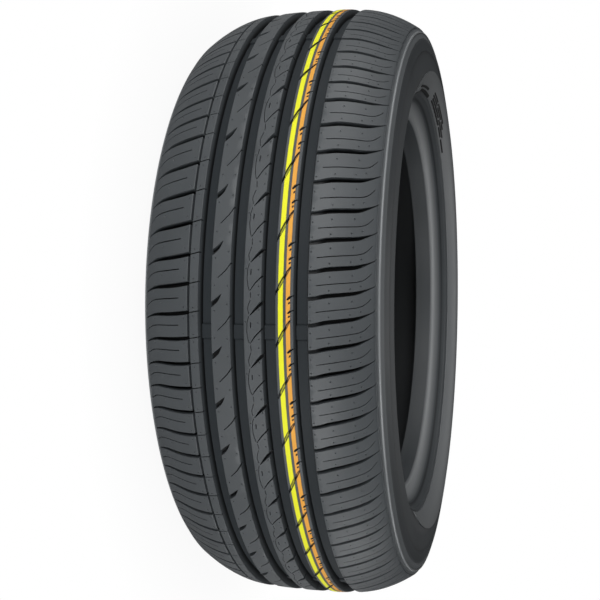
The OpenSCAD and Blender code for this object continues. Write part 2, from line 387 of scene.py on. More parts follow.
# Each cut's line, its kind, its share of depth, the number of steps from one spot of the line to the
# next, and whether it comes twice in a double pitch
LINES = [
    # Right shoulder: cross groove, and the sipe whose end hooks round
    ([(3, RIGHT_Z - 1, 1.75), (2.4, 55, 1.8), (0.5, 64, 1.95), (-0.8, 76, 1.9), (-2.3, 87, 1.7),
      (-4.6, 93.5, 1.05), (-7, 98.5, 0.5), (-10.2, 103.6, 0.3)], CROSS_GROOVE,
     ((RIGHT_Z, 0.6), (57, 0.65), (63, 1), (90, 1), (97, 0.5), (104, 0.1)), 3, True),
    ([(14.1, 56.4, 0.35), (12.5, 70, 0.4), (10.3, 88.4, 0.35), (6.9, 95, 0.3), (2.2, 98.8, 0.2)],
     SIPE, ((88, 1), (99, 0.4)), 2, True),
    # Left shoulder: the same two, leaning the other way
    ([(0, LEFT_Z + 0.2, 1.7), (1.2, -66, 1.85), (1.9, -76, 1.8), (2.4, -88, 1.5), (3.6, -94.5, 1.05),
      (6.2, -100.5, 0.6), (9.4, -104.4, 0.35)], CROSS_GROOVE,
     ((-105, 0.1), (-98, 0.5), (-90, 1), (-62, 1), (LEFT_Z, 0.8)), 3, True),
    ([(11.3, -65, 0.4), (11.9, -75, 0.45), (12.5, -89, 0.4), (14.4, -95.8, 0.35), (18.4, -100.8, 0.3),
      (22, -103.6, 0.25)], SIPE, ((-103, 0.2), (-96, 0.6), (-88, 1)), 2, True),
    # Narrow rib: its sipe
    ([(0.2, RIB_1_Z - 0.8, 0.45), (-1.4, GROOVE_1 + 0.3, 0.45)], SIPE, FULL, 1, True),
    # Rib 2: dagger notch and sipe
    ([(5.4, RIB_2_Z - 1.2, 1.9), (3.9, -33, 2.05), (0.2, -28.8, 1.7), (-4.6, -25, 0.3)],
     NOTCH, FULL, 2, False),
    ([(26.3, -28, 0.35), (19.6, -21, 0.45), (13.6, GROOVE_2 + 0.3, 0.45)], SIPE, FULL, 2, False),
    # Rib 3: notch and sipe
    ([(2.2, GROOVE_3 + 1.2, 1.5), (3.6, 9.6, 1.5), (7.6, 5.6, 1.15), (13.1, 0.6, 0.3)],
     NOTCH, FULL, 2, False),
    ([(24.6, GROOVE_3 + 0.4, 0.5), (26.2, 9.6, 0.55), (30.8, 5, 0.5), (37.2, 0.4, 0.3)],
     SIPE, FULL, 2, False),
    # The wavy line between their tips, in three parts
    ([(14.2, -0.6, 0.3), (20, -2, 0.3), (27, -2.2, 0.3), (33, -1.3, 0.3), (36.6, -0.3, 0.3)],
     FINE_LINE, FULL, 1, False),
    ([(38.7, 0.9, 0.3), (43.2, 1.3, 0.3)], FINE_LINE, FULL, 1, False),
    ([(0.2, 0.9, 0.3), (3.4, -0.4, 0.3), (7, -1.4, 0.3), (11.6, -0.5, 0.3)], FINE_LINE, FULL, 1, False),
    # Small slot beside the wavy line
    ([(19.4, 1.2, 0.45), (23.6, 1.0, 0.45)], SLOT, FULL, 1, False),
]
# Rib 4: first the sipe that crosses both paint lines, then the two nicks at the right edge, each with
# a fine line beside it
PAINT_LINES = [
    ([(40.9, RIB_4_Z - 0.6, 1), (37.6, RIB_4_Z + 1, 1), (27.6, 28.8, 1.05), (19.6, 33.4, 0.65),
      (17.2, 35.2, 0.4)], LONG_SIPE, FULL, 2, False),
    ([(44.5, 32.7, 0.5), (42.7, 34.8, 0.8), (41, GROOVE_4 + 0.3, 0.3)], FIRST_NICK, FULL, 1, False),
    ([(48, 33.8, 0.3), (46.9, 34.6, 0.35)], FINE_LINE, FULL, 1, False),
    ([(11.1, 33.3, 0.4), (9.6, 35, 0.7), (8.4, GROOVE_4 + 0.3, 0.3)], SECOND_NICK, FULL, 1, False),
    ([(14.4, 33.6, 0.3), (13.4, 34.4, 0.35)], FINE_LINE, FULL, 1, False),
]
# Where the two paint lines start on rib 4, and how wide they are
YELLOW_Z, YELLOW_W = RIB_4_Z + 2.3, 4.4
ORANGE_Z, ORANGE_W = RIB_4_Z + 8.9, 3.8
# Width of the band of painted shade that paint has on either side of a cut's edge, how far it sinks
# into the long sipe, and how far its foot goes into the rubber
PAINT_RIM, PAINT_SINK, PAINT_FOOT = 0.6, 1.6, 0.1
# Vent marks of one double pitch: along and across
VENTS = [
    (9.6, 51.6), (32.1, 51.6), (21.2, 51.6), (43.7, 51.6),
    (6.6, 67), (18.2, 66.6), (29.1, 67), (40.7, 66.6),
    (4.8, 84.6), (16.4, 83), (27.3, 84.6), (38.9, 83), (13.8, 91), (36.3, 91),
    (8.4, 8.2), (19.6, 7.6), (33.5, 8), (40.8, 8), (18.6, -3.4),
    (9.5, -31), (33, -31), (4, -19.4), (33.5, -19.4),
    (-3.6, -50.6), (3, -50.6), (18.9, -50.6), (25.5, -50.6),
    (-4.2, -59.8), (5, -59.8), (18.3, -59.8), (27.5, -59.8),
    (6.4, -92), (28.9, -92), (15.6, -84), (38.1, -84),
]


def cuts_from(lines):
    """The cuts of one double pitch, each moved by whole repeats until it lies inside the seam."""
    cuts = []
    for spots, (depth, run), fade, fine, twice in lines:
        for shift in ([0, DRAWN_L / 2] if twice else [0]):
            shift -= DRAWN_L * ((spots[0][0] + shift - seam(spots[0][1])) // DRAWN_L)
            moved = [(s + shift, u, w) for s, u, w in spots]
            cuts.append(Cut(moved, depth, run, fade, fine))
    return cuts


class Vent:
    """The small round pit that a mould's vent leaves."""

    # Radius of its outline and of the pit in it, the pit's depth, and corners of the outline
    R, PIT_R, DEPTH, CORNERS = 0.9, 0.72, 0.9, 5

    def __init__(self, s, u):
        self.s, self.u = seam(u) + (s - seam(u)) % DRAWN_L, u

    def outlines(self):
        around = [2 * pi * k / self.CORNERS for k in range(self.CORNERS)]
        edge = [(self.s + self.R * cos(a), self.u + self.R * sin(a)) for a in around]
        return [[(self.s, self.u)], edge]

    def height(self, s, u):
        return -self.DEPTH * max(0, 1 - hypot(s - self.s, u - self.u) / self.PIT_R)


def groove_height(u):
    """Height of the ribs and of the grooves that run round, across the tread."""
    for start, w, depth, run in ROUND_GROOVES:
        d = min(u - start, start + w - u)
        if d >= run - NEARLY:
            return -depth
        if d >= -NEARLY:
            return -EASE_H - (depth - EASE_H) * d / run
        if d > -EASE_W:
            return -EASE_H * (1 + d / EASE_W)
    return 0


def relief_height(u):
    """Height of the surface in the fine groove at the tread's edge, and of the relief under it."""
    u = abs(u)
    off = abs(u - EDGE_LINE)
    if off < EDGE_LINE_W:
        return -EDGE_LINE_DEPTH * (1 - off / EDGE_LINE_W)
    return relief(BAND.place(u)[0]) if u > EDGE_LINE else 0


def levels():
    """Places across at which the band has a row of points."""
    found = set()
    for start, w, _, run in ROUND_GROOVES:
        for d in (-EASE_W, 0, run):
            found |= {start + d, start + w - d}
    for a, b, n in (
        (RIB_1_Z, GROOVE_1, 1), (RIB_2_Z, GROOVE_2, 3), (RIB_3_Z, GROOVE_3, 3), (RIB_4_Z, GROOVE_4, 3),
        (RIGHT_Z, EDGE_Z, 8), (-EDGE_Z, LEFT_Z, 7),
    ):
        found |= set(steps(a, b, n)[:-1])
    for way in (-1, 1):
        found |= {way * u for u in (EDGE_Z - 1, BAND_END)}
        found |= {way * (EDGE_LINE + d) for d in (-EDGE_LINE_W, 0, EDGE_LINE_W)}
        found |= {way * BAND.across(r) for r, h in RELIEF if r > BAND_BOTTOM + 1}
    found = sorted(round(u, 4) for u in found)
    return [u for i, u in enumerate(found) if i == 0 or u - found[i - 1] > ROW_GAP]


def mesh_of_band(rows, cuts, rim=0):
    """Points and triangles of one double pitch between the first row and the last, cuts included."""
    coords, edges = [], []
    grid = []
    for u in rows:
        start = len(coords)
        coords += [(seam(u) + DRAWN_L * k / COLUMNS, u) for k in range(COLUMNS + 1)]
        edges += [(start + k, start + k + 1) for k in range(COLUMNS)]
        grid.append(start)
    domain = list(range(COLUMNS + 1))
    domain += [start + COLUMNS for start in grid[1:]]
    domain += [grid[-1] + k for k in range(COLUMNS - 1, -1, -1)]
    domain += [start for start in grid[-2:0:-1]]
    for cut in cuts:
        for ring in cut.outlines() + ([cut.outline(rim)] if rim else []):
            start = len(coords)
            coords += ring
            if len(ring) > 1:
                edges += [(start + k, start + (k + 1) % len(ring)) for k in range(len(ring))]
    whole_hull, nearest = 0, 1e-5
    points, _, faces, _, _, sources = delaunay_2d_cdt(
        [Vector(c) for c in coords], edges, [domain], whole_hull, nearest, True)
    return points, [face for face, source in zip(faces, sources) if source]


def height_at(s, u, cuts):
    return min([groove_height(u)] + [cut.height(s, u) for cut in cuts]) + relief_height(u)


def tile_vertex(mesh, s, u, h):
    r, z = BAND.place(u, h)
    return mesh.verts.new((s * MM, z * MM, r * MM))


# Angles of the points that round a corner
ARC = [radians(a) for a in (0, 30, 60, 90)]


def carcass_rows():
    """Radius and distance from the middle plane of the rows from one sidewall, inside, to the other."""
    end_r = BAND.place(BAND_END)[0]
    marks = [r for r, h in RELIEF if FLANGE_R < r < end_r]
    smooth = steps(end_r, WIDEST_R, 5)[:-1] + steps(WIDEST_R, FLANGE_R, 9)
    smooth = [r for r in smooth if min(abs(r - mark) for mark in marks) > 1]
    rows = [(r, side(r) + relief(r)) for r in sorted(smooth + marks, reverse=True)]
    face = [r for r, h in RELIEF if SEAT_R + HEEL_CUT < r < FLANGE_R]
    rows += [(r, side(r) + relief(r)) for r in sorted(face, reverse=True)]
    for a in ARC:
        rows.append((SEAT_R + HEEL_CUT * (1 - sin(a)), HEEL_Z - HEEL_CUT * (1 - cos(a))))
    toe_z = HEEL_Z - BEAD_W
    rows += [(SEAT_R, HEEL_Z - HEEL_CUT - SEAT_L), (SEAT_R - TOE_DROP, toe_z + 1.2)]
    rows += [(SEAT_R - TOE_DROP + 0.2, toe_z + 0.4), (SEAT_R - TOE_DROP / 2, toe_z)]
    rows += [(r, side(r) - wall(r)) for r in steps(SEAT_R, WIDEST_R, 9)]
    liner_z = EDGE_Z - SHOULDER_T - 2
    liner_r = crown(liner_z) - CROWN_T
    rows += [(r, side(r) - wall(r)) for r in steps(WIDEST_R, liner_r, 6) if r < liner_r]
    rows += [(crown(z) - CROWN_T, z) for z in steps(liner_z, 0, 8)]
    return rows + [(r, -z) for r, z in rows[-2::-1]]


def tyre_tile():
    """One double pitch of the whole tyre, laid flat: along, across, and radius."""
    cuts = cuts_from(LINES + PAINT_LINES) + [Vent(*spot) for spot in VENTS]
    points, faces = mesh_of_band(levels(), cuts)
    mesh = bmesh.new()
    # The depth layer holds painted light and shade: in the tread, how deep a spot lies, which paints shade
    # into the cuts; on the sidewalls, their painted tones
    depth = mesh.verts.layers.float.new("depth")
    made = []
    for p in points:
        h = height_at(p.x, p.y, cuts)
        made.append(tile_vertex(mesh, p.x, p.y, h))
        # On the sidewalls, the painted tone, or the painted shade of a cut where that is darker
        if abs(p.y) > SIDE_TONE_Z:
            in_cut = -h / MAIN_DEPTH if h < -EDGE_LINE_DEPTH else -1
            made[-1][depth] = max(tone(BAND.place(abs(p.y))[0]), in_cut)
        else:
            made[-1][depth] = min(max(-h / MAIN_DEPTH, 0), 1)
    for face in faces:
        mesh.faces.new([made[i] for i in face])
    for vert in [v for v in made if not v.link_faces]:
        mesh.verts.remove(vert)
    rows = carcass_rows()
    end = relief_height(BAND_END)
    rows = [BAND.place(BAND_END, end)] + rows + [BAND.place(-BAND_END, end)]
    grid = []
    for i, (r, z) in enumerate(rows):
        shift = seam(BAND_END) + (seam(-BAND_END) - seam(BAND_END)) * i / (len(rows) - 1)
        columns = COLUMNS if i in (0, len(rows) - 1) else COLUMNS // 2
        grid.append([
            mesh.verts.new(((shift + DRAWN_L * k / columns) * MM, z * MM, r * MM))
            for k in range(columns + 1)
        ])
        # Outside, the sidewall's painted tones; inside, a painted shade that grows from the bead seat up
        # the liner
        outside = abs(z) > HEEL_Z - 1
        for vert in grid[-1]:
            vert[depth] = tone(r) if outside else min(INNER_PAINTED_SHADE, (r - SEAT_R) / INNER_FADE)
    # The band's last row has two columns for each one of the carcass
    for low, high in zip(grid, grid[1:]):
        for k in range(COLUMNS // 2):
            near = low[2 * k:2 * k + 3] if low is grid[0] else low[k:k + 2]
            far = high[2 * k:2 * k + 3] if high is grid[-1] else high[k:k + 2]
            mesh.faces.new(near + far[::-1])
    bmesh.ops.remove_doubles(mesh, verts=mesh.verts, dist=0.0005 * MM)
    return mesh


def thicken(mesh, layers, faces, open_side):
    """Closes a flat sheet into a slab: its faces on both layers of points, and walls on its sides."""
    sides = set()
    for face in faces:
        mesh.faces.new([layers[0][i] for i in face])
        mesh.faces.new([layers[1][i] for i in reversed(face)])
        sides |= set(zip(face, face[1:] + face[:1]))
    for a, b in sides:
        if (b, a) not in sides and not open_side(a, b):
            mesh.faces.new((layers[0][b], layers[0][a], layers[1][a], layers[1][b]))
    for vert in [v for v in mesh.verts if not v.link_faces]:
        mesh.verts.remove(vert)


def paint_tile(left, width, thick):
    """One double pitch of a paint line on rib 4. It lies in the long sipe and leaves the nicks open."""
    cuts = cuts_from(PAINT_LINES)
    rows = [left, left + width / 3, left + width * 2 / 3, left + width]
    points, faces = mesh_of_band(rows, cuts, PAINT_RIM)
    mesh = bmesh.new()
    share, rim = (mesh.verts.layers.float.new(name) for name in ("across", "rim"))
    long_sipe, *nicks = cuts
    sunk = [min(max(long_sipe.inside(p.x, p.y), 0), 1) * PAINT_SINK for p in points]
    layers = [
        [tile_vertex(mesh, p.x, p.y, h - d) for p, d in zip(points, sunk)]
        for h in (thick, -PAINT_FOOT)
    ]
    for layer in layers:
        for vert, p in zip(layer, points):
            vert[share] = (p.y - left) / width
            vert[rim] = max(0, 1 - min(abs(cut.inside(p.x, p.y, False)) for cut in cuts) / PAINT_RIM)
    kept = []
    for face in faces:
        centre = sum((points[i] for i in face), Vector((0, 0))) / len(face)
        if not any(nick.inside(centre.x, centre.y) > 0 for nick in nicks):
            kept.append(face)
    along = [p.x - seam(p.y) for p in points]
    ends = [[abs(a - end) < 10 * NEARLY for end in (0, DRAWN_L)] for a in along]
    thicken(mesh, layers, kept, lambda a, b: any(ends[a]) and ends[a] == ends[b])
    return mesh


def loft(mesh, rings):
    """Closes a row of rings of vertices, all of one length, into a shell with flat ends."""
    for a, b in zip(rings, rings[1:]):
        for k in range(len(a)):
            mesh.faces.new((a[k - 1], a[k], b[k], b[k - 1]))
    mesh.faces.new(rings[0][::-1])
    mesh.faces.new(rings[-1])


# Wear bars: height over a main groove's floor, length, places, the first one's angle in degrees, and
# how far they reach into the groove's walls and floor
WEAR_H, WEAR_L, WEAR_PLACES, WEAR_START = 1.6, 12, 6, 5
WEAR_IN_WALL, WEAR_IN_FLOOR = 0.3, 1


def wear_bar_tile():
    """One set of wear bars, which stand across the four main grooves, laid flat."""
    mesh = bmesh.new()
    depth = mesh.verts.layers.float.new("depth")
    top, end, sunk = WEAR_H - MAIN_DEPTH, -MAIN_DEPTH - 0.4, -MAIN_DEPTH - WEAR_IN_FLOOR
    inset = MAIN_RUN * (1 - WEAR_H / MAIN_DEPTH) - WEAR_IN_WALL
    for groove in MAIN_GROOVES:
        low, high = groove + inset, groove + MAIN_W - inset
        rings = []
        for s, h in ((-0.6, end), (-0.5, top), (0.5, top), (0.6, end)):
            corners = ((low, sunk), (low, h), (high, h), (high, sunk))
            rings.append([tile_vertex(mesh, s * WEAR_L, u, h) for u, h in corners])
        loft(mesh, rings)
    # The bars take the painted shade of the groove floors
    for vert in mesh.verts:
        vert[depth] = 1.0
    return mesh


# Rows of bars on the plate: radius of the first row and from each to the next, their width, and for
# each bar its row, its first angle and its length in degrees
BARS_R, BARS_STEP, BAR_W = 229.8, 2.5, 1.4
BARS = [
    (0, -127, 6), (0, -120, 5), (0, -114, 16), (1, -121, 9), (1, -111, 13), (2, -118, 4), (2, -113, 7),
    (2, -105, 8), (3, -116, 11), (3, -104, 7),
]
# Height of the bars and of two short arcs beside them, and the painted shade on both
BAR_H, ARC_H, MARK_PAINTED_SHADE = 1.3, 1.2, 0.8
# Raised patches on both sidewalls: first and last angle in degrees, inner and outer radius, height,
# painted tone (a painted highlight on the plate, painted shade on the marks), and how much lower the
# outer edge gets towards both ends. The plate comes first
PATCHES = [
    (PLATE_START, PLATE_END, PLATE_IN, PLATE_OUT + PLATE_LAP, RELIEF_H, PLATE_PAINTED_HIGHLIGHT, PLATE_TAPER)
]
for row, first, length in BARS:
    bar_r = BARS_R + BARS_STEP * row
    PATCHES.append((first, first + length, bar_r, bar_r + BAR_W, BAR_H, MARK_PAINTED_SHADE, 0))
PATCHES += [
    (-89, -75, 232.2, 234.4, ARC_H, MARK_PAINTED_SHADE, 0),
    (-93.5, -79, 228.2, 230.6, ARC_H, MARK_PAINTED_SHADE, 0),
]
# Largest radius of a patch's corners, how deep its foot goes into the sidewall, degrees from one
# section to the next, and spaces across one
CORNER_R, PATCH_FOOT, SECTION_ANGLE, SECTION_SPACES = 8.0, 0.7, 3, 6
# Degrees over which the plate's outer edge comes down at both ends, and the power of that curve
TAPER_ANGLE, TAPER_POWER = 44, 1.7


def sidewall_patch(mesh, way, start, end, r_in, r_out, height, shade, taper):
    """A raised patch with rounded ends that follows the sidewall, as a shell sunk into it."""
    turn = degrees(1 / ((r_in + r_out) / 2))
    radius = min(CORNER_R, (r_out - taper - r_in) / 2 - 0.2, (end - start) / turn / 2 - 0.1)
    ends = [(radius * turn * (1 - cos(a)), radius * (1 - sin(a))) for a in ARC]
    sections = max(1, round((end - start) / SECTION_ANGLE))
    places = [(start + d, lost) for d, lost in ends]
    places += [(a, 0) for a in steps(start + ends[-1][0], end - ends[-1][0], sections)]
    places += [(end - d, lost) for d, lost in ends[-2::-1]]
    rings = []
    for angle, lost in places:
        left = max(0, 1 - min(angle - start, end - angle) / TAPER_ANGLE)
        low, high = r_in + lost, r_out - taper * left ** TAPER_POWER - lost
        spots = [(low + (high - low) * k / SECTION_SPACES, height) for k in range(SECTION_SPACES + 1)]
        spots = [(low, relief(low) - PATCH_FOOT)] + spots + [(high, relief(high) - PATCH_FOOT)]
        turned = radians(angle)
        rings.append([
            mesh.verts.new((r * sin(turned) * MM, -r * cos(turned) * MM, way * (side(r) + h) * MM))
            for r, h in spots
        ])
    # Each patch carries its painted tone, highlight or shade, on the depth layer
    depth = mesh.verts.layers.float["depth"]
    for vert in sum(rings, []):
        vert[depth] = shade
    loft(mesh, rings)


# The ring: every double pitch is an instance of the tile, bent round the axle line

# Distance at which neighbours' points are one, and the angle past which an edge is sharp
WELD_DISTANCE, SHARP_ANGLE = 0.004 * MM, radians(32)


def pitch_starts():
    shares = [SHARES[letter] for letter in PITCH_ORDER]
    return shares, [SHORT_ANGLE * sum(shares[:i]) for i in range(len(shares))]


def place_points(shares, starts, back):
    """A point for each copy of a tile: where it starts, how far it and its neighbours are stretched.

    What lies left of groove 1 takes these from the copy that comes so many places before."""
    count = len(shares)
    mesh = bpy.data.meshes.new("pitch_places")
    mesh.vertices.add(count)
    for zone, shift in (("rib", 0), ("left", back)):
        values = {
            "start": [starts[i - shift] - (2 * pi if i < shift else 0) for i in range(count)],
            "own": [shares[i - shift] for i in range(count)],
            "before": [shares[i - shift - 1] for i in range(count)],
            "after": [shares[(i - shift + 1) % count] for i in range(count)],
        }
        for name, numbers in values.items():
            mesh.attributes.new(f"{zone} {name}", "FLOAT", "POINT").data.foreach_set("value", numbers)
    return bpy.data.objects.new("pitch_places", mesh)


def pitch_tree():
    """Repeats a flat tile on the places given and bends it into a ring, its shoulders turned."""
    tree = bpy.data.node_groups.new("Pitch Ring", "GeometryNodeTree")
    for label, kind in (
        ("Tile", "NodeSocketGeometry"), ("Places", "NodeSocketObject"),
        ("Drawn Length", "NodeSocketFloat"), ("Short Angle", "NodeSocketFloat"),
        ("Left Turn", "NodeSocketFloat"), ("Right Turn", "NodeSocketFloat"),
        ("Weld Distance", "NodeSocketFloat"), ("Material", "NodeSocketMaterial"),
    ):
        tree.interface.new_socket(label, in_out="INPUT", socket_type=kind)
    tree.interface.new_socket("Ring", in_out="OUTPUT", socket_type="NodeSocketGeometry")
    given = add(tree, "NodeGroupInput").outputs
    places = add(tree, "GeometryNodeObjectInfo", {"Object": given["Places"]})
    points = add(tree, "GeometryNodeMeshToPoints", {"Mesh": places.outputs["Geometry"]})
    copies = add(tree, "GeometryNodeInstanceOnPoints", {
        "Points": points.outputs[0], "Instance": given["Tile"]
    })
    whole = add(tree, "GeometryNodeRealizeInstances", {"Geometry": copies.outputs[0]})

    # The parts of a spot's distance along that lie before the pitch, in it and after it
    position = add(tree, "GeometryNodeInputPosition")
    flat = add(tree, "ShaderNodeSeparateXYZ", {"Vector": position.outputs[0]}).outputs
    inner = add(tree, "ShaderNodeClamp", {"Value": flat["X"], "Max": given["Drawn Length"]}).outputs[0]
    before = add(tree, "ShaderNodeMath", {0: flat["X"], 1: 0.0}, operation="MINIMUM").outputs[0]
    rest = add(tree, "ShaderNodeMath", {0: flat["X"], 1: inner}, operation="SUBTRACT").outputs[0]
    after = add(tree, "ShaderNodeMath", {0: rest, 1: 0.0}, operation="MAXIMUM").outputs[0]
    scale = add(tree, "ShaderNodeMath", {
        0: given["Short Angle"], 1: given["Drawn Length"]
    }, operation="DIVIDE").outputs[0]
    angles = {}
    for zone in ("rib", "left"):
        known = {}
        for name in ("start", "own", "before", "after"):
            known[name] = add(tree, "GeometryNodeInputNamedAttribute", {
                "Name": f"{zone} {name}"
            }, data_type="FLOAT").outputs[0]
        length = add(tree, "ShaderNodeMath", {0: inner, 1: known["own"]}, operation="MULTIPLY").outputs[0]
        for part, name in ((before, "before"), (after, "after")):
            length = add(tree, "ShaderNodeMath", {
                0: part, 1: known[name], 2: length
            }, operation="MULTIPLY_ADD").outputs[0]
        angles[zone] = add(tree, "ShaderNodeMath", {
            0: length, 1: scale, 2: known["start"]
        }, operation="MULTIPLY_ADD").outputs[0]

    # The turns come in over the floors of grooves 1 and 4
    leftness = add(tree, "ShaderNodeMapRange", {
        "Value": flat["Y"],
        "From Min": (RIB_2_Z - MAIN_RUN) * MM, "From Max": (GROOVE_1 + MAIN_RUN) * MM,
    }).outputs[0]
    rightness = add(tree, "ShaderNodeMapRange", {
        "Value": flat["Y"],
        "From Min": (GROOVE_4 + MAIN_RUN) * MM, "From Max": (RIGHT_Z - MAIN_RUN) * MM,
    }).outputs[0]
    left = add(tree, "ShaderNodeMath", {
        0: angles["left"], 1: given["Left Turn"]
    }, operation="ADD").outputs[0]
    right = add(tree, "ShaderNodeMath", {
        0: rightness, 1: given["Right Turn"], 2: angles["rib"]
    }, operation="MULTIPLY_ADD").outputs[0]
    angle = add(tree, "ShaderNodeMix", {0: leftness, 2: right, 3: left}, data_type="FLOAT").outputs[0]
    sine = add(tree, "ShaderNodeMath", {0: angle}, operation="SINE").outputs[0]
    cosine = add(tree, "ShaderNodeMath", {0: angle}, operation="COSINE").outputs[0]
    inward = add(tree, "ShaderNodeMath", {0: flat["Z"], 1: -1.0}, operation="MULTIPLY").outputs[0]
    bent = add(tree, "ShaderNodeCombineXYZ", {
        "X": add(tree, "ShaderNodeMath", {0: flat["Z"], 1: sine}, operation="MULTIPLY").outputs[0],
        "Y": add(tree, "ShaderNodeMath", {0: inward, 1: cosine}, operation="MULTIPLY").outputs[0],
        "Z": flat["Y"],
    })
    ring = add(tree, "GeometryNodeSetPosition", {
        "Geometry": whole.outputs[0], "Position": bent.outputs[0]
    })
    welded = add(tree, "GeometryNodeMergeByDistance", {
        "Geometry": ring.outputs[0], "Distance": given["Weld Distance"]
    })
    dressed = add(tree, "GeometryNodeSetMaterial", {
        "Geometry": welded.outputs[0], "Material": given["Material"]
    })
    add(tree, "NodeGroupOutput", {"Ring": dressed.outputs[0]})
    return tree


def ring_mesh(tile, material, shares=None, starts=None):
    """Runs a tile round the tyre, on every double pitch or on the places given, as one mesh."""
    flat = bpy.data.meshes.new("tile")
    tile.to_mesh(flat)
    tile.free()
    pitched = shares is None
    if pitched:
        shares, starts = pitch_starts()
    made = bpy.data.objects.new("tile", flat)
    places = place_points(shares, starts, 1 if pitched else 0)
    for helper in (made, places):
        bpy.context.scene.collection.objects.link(helper)
    tree = bpy.data.node_groups.get("Pitch Ring") or pitch_tree()
    modifier = made.modifiers.new("Pitch Ring", "NODES")
    modifier.node_group = tree
    values = {
        "Places": places, "Drawn Length": DRAWN_L * MM, "Short Angle": SHORT_ANGLE,
        "Left Turn": LEFT_TURN if pitched else 0.0, "Right Turn": RIGHT_TURN if pitched else 0.0,
        "Weld Distance": WELD_DISTANCE, "Material": material,
    }
    for item in tree.interface.items_tree:
        if item.in_out == "INPUT" and item.name in values:
            modifier[item.identifier] = values[item.name]
    graph = bpy.context.evaluated_depsgraph_get()
    mesh = bpy.data.meshes.new_from_object(made.evaluated_get(graph), depsgraph=graph)
    for helper in (made, places):
        bpy.data.objects.remove(helper)
    return mesh


def hand_over(piece, mesh, material, node):
    """Turns a closed mesh's faces outwards, shades it and hands the piece to the frame."""
    work = bmesh.new()
    work.from_mesh(mesh)
    bmesh.ops.recalc_face_normals(work, faces=work.faces)
    open_edges = sum(1 for e in work.edges if not e.is_manifold)
    for face in work.faces:
        face.material_index = 0
    work.to_mesh(mesh)
    work.free()
    if open_edges:
        raise RuntimeError(f"{piece} has {open_edges} open edges")
    mesh.materials.clear()
    mesh.materials.append(material)
    mesh.shade_smooth()
    mesh.set_sharp_from_angle(angle=SHARP_ANGLE)
    mesh.name = piece
    made = bpy.data.objects.new(piece, mesh)
    bpy.context.scene.collection.objects.link(made)
    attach(made, "root")
    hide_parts(node)


# Finishes

def rubber_material(finish):
    """Tread rubber, cured in a steel mould: a dull grey black with a soft sheen and a fine grain.

    Rings, ridges, bead faces and the plate take a painted highlight, the walls of cuts a near-black
    painted shade, and groove floors and the inner side a painted shade darker than the rubber, all by
    the depth layer. Pale dust lies on the ribs in patches some centimetres wide."""
    material, tree = blank_material("vulcanised_rubber")
    where = add(tree, "ShaderNodeTexCoord").outputs["Object"]
    patch_size, grain_size = 45 * MM, 1.6 * MM
    patches = add(tree, "ShaderNodeTexNoise", {"Vector": where, "Scale": 1 / patch_size, "Detail": 3.0})
    # The mould's own grain is finer: it is drawn as coarse as it needs to show
    grain = add(tree, "ShaderNodeTexNoise", {"Vector": where, "Scale": 1 / grain_size, "Detail": 2.0})
    colour = add(tree, "ShaderNodeMix", {
        0: patches.outputs["Fac"], 6: finish.rubber_deep[:], 7: finish.rubber[:]
    }, data_type="RGBA")
    # The depth layer drives the painted shade and the painted highlight mixed in below
    depth = add(tree, "ShaderNodeAttribute", attribute_name="depth").outputs["Fac"]
    shade = add(tree, "ShaderNodeMapRange", {"Value": depth, "From Min": 0.25, "From Max": 0.75})
    floor = add(tree, "ShaderNodeMapRange", {"Value": depth, "From Min": 0.93, "From Max": 1.0})
    highlight_share = add(tree, "ShaderNodeMapRange", {"Value": depth, "From Max": -1.0, "To Max": 1.0})
    # Near-black painted shade on the walls of cuts, a lighter painted shade on groove floors, and a
    # painted highlight
    for share, over in ((shade, finish.walls), (floor, finish.groove), (highlight_share, finish.painted_highlight)):
        colour = add(tree, "ShaderNodeMix", {
            0: share.outputs[0], 6: colour.outputs[2], 7: over[:]
        }, data_type="RGBA")
    dull = add(tree, "ShaderNodeMapRange", {
        "Value": patches.outputs["Fac"], "To Min": 0.46, "To Max": 0.58
    })
    rough = add(tree, "ShaderNodeMath", {
        0: highlight_share.outputs[0], 1: -0.2, 2: dull.outputs[0]
    }, operation="MULTIPLY_ADD")
    bump = add(tree, "ShaderNodeBump", {
        "Strength": 0.12, "Distance": 0.15 * MM, "Height": grain.outputs["Fac"]
    })
    sheen = add(tree, "ShaderNodeMapRange", {
        "Value": depth, "From Min": 0.2, "To Min": 0.5, "To Max": 0.1
    })
    shader = add(tree, "ShaderNodeBsdfPrincipled", {
        "Base Color": colour.outputs[2], "Roughness": rough.outputs[0], "IOR": 1.52,
        "Normal": bump.outputs[0], "Specular IOR Level": sheen.outputs[0],
    })
    add(tree, "ShaderNodeOutputMaterial", {"Surface": shader.outputs[0]})
    return material


